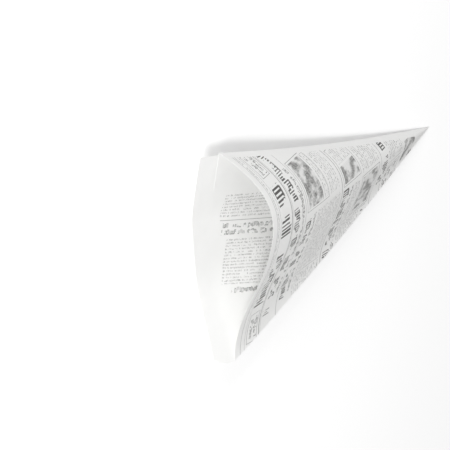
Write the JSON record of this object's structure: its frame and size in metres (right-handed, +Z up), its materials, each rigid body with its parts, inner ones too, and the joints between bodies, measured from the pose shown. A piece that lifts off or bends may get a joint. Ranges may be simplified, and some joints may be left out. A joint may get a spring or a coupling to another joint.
{
  "type": "paper cone bag",
  "caption": "Opened paper cone bag lying on its back, folded and glued from one printed sheet, with a back lip blunt at the fold, and an inner glue flap at the seam.",
  "frame": {"origin": "middle of the bag's box, on the surface that it lies on", "axes": "+X from the mouth towards the tip, +Y from the fold towards the glued seam, +Z up from the back panel towards the front panel"},
  "size_m": [0.2782, 0.1848, 0.0546],
  "materials": {
    "printed_paper": "smooth uncoated white paper with a grey newsprint-style print"
  },
  "bodies": {
    "root": {"folded_cone_bag": "printed_paper"}
  },
  "joints": []
}
